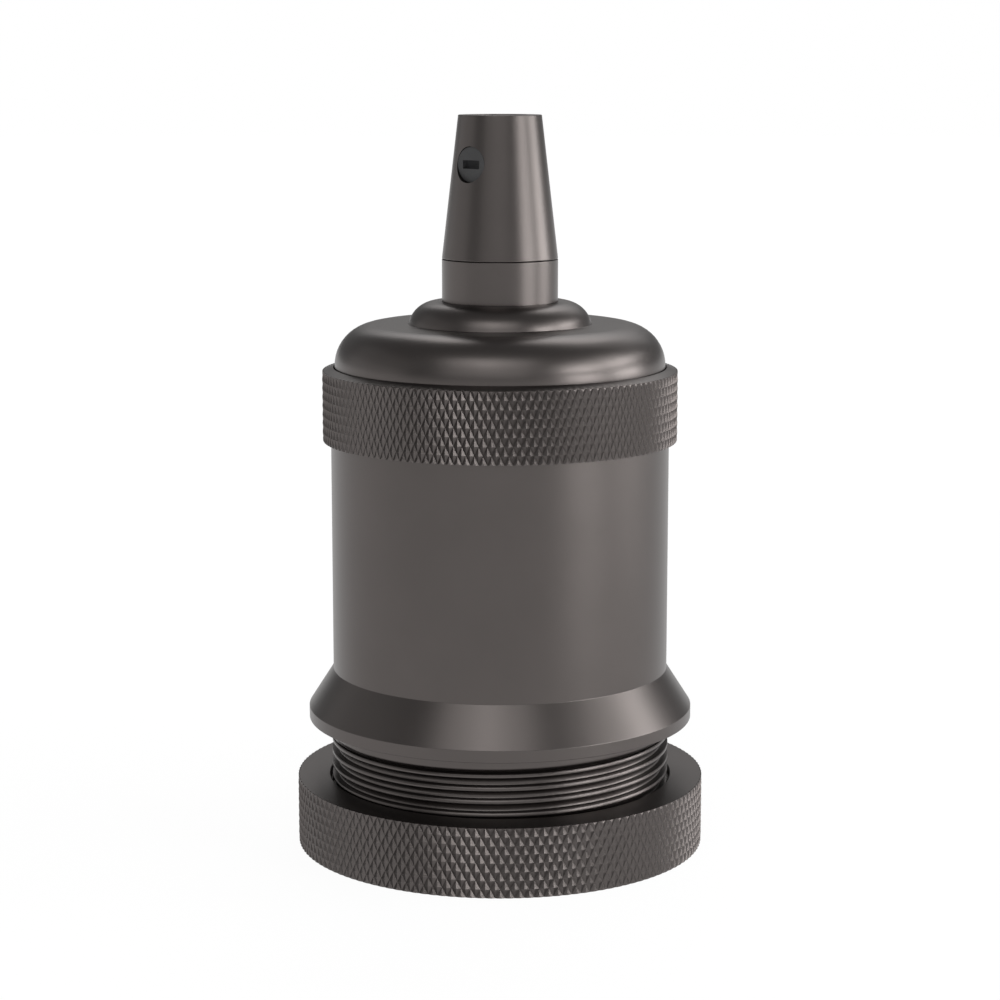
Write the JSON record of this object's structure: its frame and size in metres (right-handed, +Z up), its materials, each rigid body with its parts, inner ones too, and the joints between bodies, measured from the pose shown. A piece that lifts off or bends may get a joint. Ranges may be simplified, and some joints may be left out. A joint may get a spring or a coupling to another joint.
{
  "type": "lamp holder",
  "caption": "Pendant lamp holder in dark satin metal: conical cord grip, domed cap, knurled cap ring, flanged sleeve with a screw shell inside, and a knurled shade ring on its lower thread.",
  "frame": {"origin": "centre of the shade ring's lower face, on the holder's axis, where it stands", "axes": "+Z up along the axis towards the cord, -Y towards the viewer of the picture, +X to the right"},
  "size_m": [0.048, 0.048, 0.0852],
  "materials": {
    "dark_metal": "satin dark grey-black plating",
    "black_plastic": "matt moulded plastic",
    "plated_steel": "zinc plated",
    "porcelain": "white glaze",
    "shell_metal": "nickel plated rolled sheet",
    "terminal_brass": "plain machined",
    "spring_bronze": "cold rolled strip"
  },
  "bodies": {
    "cap": {"dome_cap": "dark_metal", "neck_spacer": "dark_metal", "threaded_tube": "plated_steel", "wire_bush": "black_plastic", "toothed_washer": "plated_steel", "lock_nut": "plated_steel", "mounting_bracket": "plated_steel", "bracket_screws": "plated_steel", "bracket_nuts": "plated_steel", "porcelain_body": "porcelain", "screw_shell": "shell_metal", "shell_screw": "plated_steel", "neutral_terminal": "terminal_brass", "live_terminal": "terminal_brass", "live_rivet": "terminal_brass", "earth_washer": "plated_steel"},
    "cone": {"cord_grip_cone": "dark_metal"},
    "clamp_screw": {"clamp_screw": "black_plastic"},
    "cap_ring": {"cap_ring": "dark_metal"},
    "sleeve": {"sleeve": "dark_metal"},
    "shade_ring": {"shade_ring": "dark_metal"},
    "centre_contact": {"centre_contact": "spring_bronze"},
    "live_terminal_screw": {"live_terminal_screw": "plated_steel"},
    "neutral_terminal_screw": {"neutral_terminal_screw": "plated_steel"},
    "earth_screw": {"earth_screw": "plated_steel"}
  },
  "joints": [
    {"name": "cone_turn", "type": "hinge", "parent": "cap", "child": "cone", "pos_m": [0, 0, 0.077], "axis": [0, 0, 1], "range_deg": [0, 720]},
    {"name": "clamp_screw_travel", "type": "slide", "parent": "cone", "child": "clamp_screw", "axis": [0.6561, 0.7547, 0], "range_m": [-0.0012, 0.0012]},
    {"name": "cap_ring_turn", "type": "hinge", "parent": "cap", "child": "cap_ring", "pos_m": [0, 0, 0.052], "axis": [0, 0, 1], "range_deg": [0, 1080.1]},
    {"name": "sleeve_travel", "type": "slide", "parent": "cap", "child": "sleeve", "axis": [0, 0, -1], "range_m": [0, 0.0045]},
    {"name": "shade_ring_travel", "type": "slide", "parent": "sleeve", "child": "shade_ring", "axis": [0, 0, 1], "range_m": [-0.006, 0.0062]},
    {"name": "centre_contact_spring", "type": "hinge", "parent": "cap", "child": "centre_contact", "pos_m": [0, -0.0052, 0.0289], "axis": [1, 0, 0], "range_deg": [0, 6], "stiffness_Nm_per_rad": 0.3},
    {"name": "live_terminal_screw_turn", "type": "hinge", "parent": "cap", "child": "live_terminal_screw", "pos_m": [0, -0.0129, 0.0388], "axis": [0, -1, 0], "range_deg": [-720, 180]},
    {"name": "neutral_terminal_screw_turn", "type": "hinge", "parent": "cap", "child": "neutral_terminal_screw", "pos_m": [0, 0.0129, 0.0388], "axis": [0, 1, 0], "range_deg": [-720, 180]},
    {"name": "earth_screw_turn", "type": "hinge", "parent": "cap", "child": "earth_screw", "pos_m": [0.0089, 0, 0.051], "axis": [1, 0, 0], "range_deg": [0, 720]}
  ],
  "couplings": [
    {"joint": "cap_ring_turn", "follows": "sleeve_travel", "rad_per_m": 4188.8}
  ]
}
